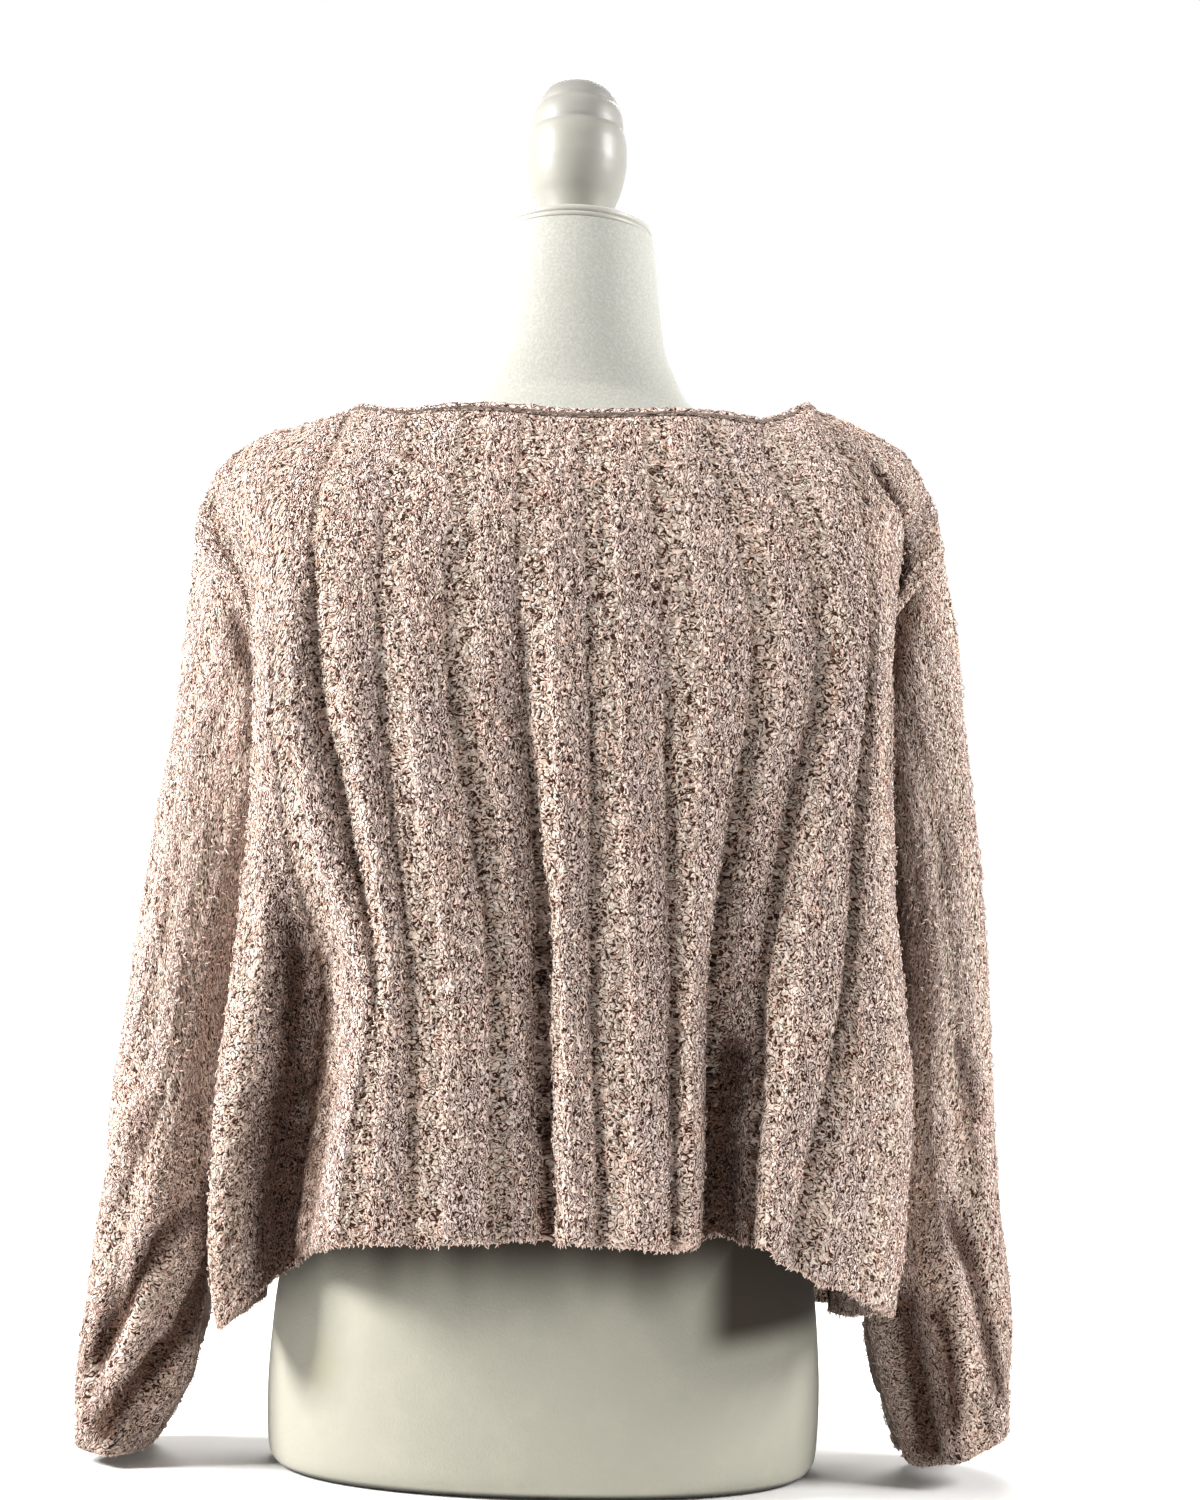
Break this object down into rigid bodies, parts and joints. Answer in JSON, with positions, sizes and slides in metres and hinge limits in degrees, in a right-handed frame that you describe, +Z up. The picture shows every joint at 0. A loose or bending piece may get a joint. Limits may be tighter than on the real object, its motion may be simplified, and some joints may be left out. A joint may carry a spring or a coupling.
{
  "type": "pullover sweater on a limbless dress form",
  "caption": "Cropped, wide boat-neck pullover in ribbed boucle knit with long dropped sleeves, worn by a limbless fabric dress form with a neck cap and a turned finial.",
  "frame": {"origin": "middle of the dress form's flat base, on the surface it stands on", "axes": "+Z up; -Y is the side the wearer's back faces, the side the reference view shows; +X is the wearer's right, the right side of that view; +Y is the front"},
  "size_m": [0.569, 0.2741, 0.8565],
  "materials": {
    "boucle_knit": "nubby boucle knit, matt, pinkish beige over taupe",
    "form_jersey": "off-white fine jersey, matt",
    "form_cap": "cream, satin",
    "form_finial": "cream, glossy, slightly greyer bulb"
  },
  "bodies": {
    "root": {"sweater_back": "boucle_knit", "sweater_front": "boucle_knit", "sleeve_left": "boucle_knit", "sleeve_right": "boucle_knit", "neck_band": "boucle_knit", "form_torso": "form_jersey", "form_neck_cap": "form_cap", "form_finial": "form_finial"}
  },
  "joints": []
}
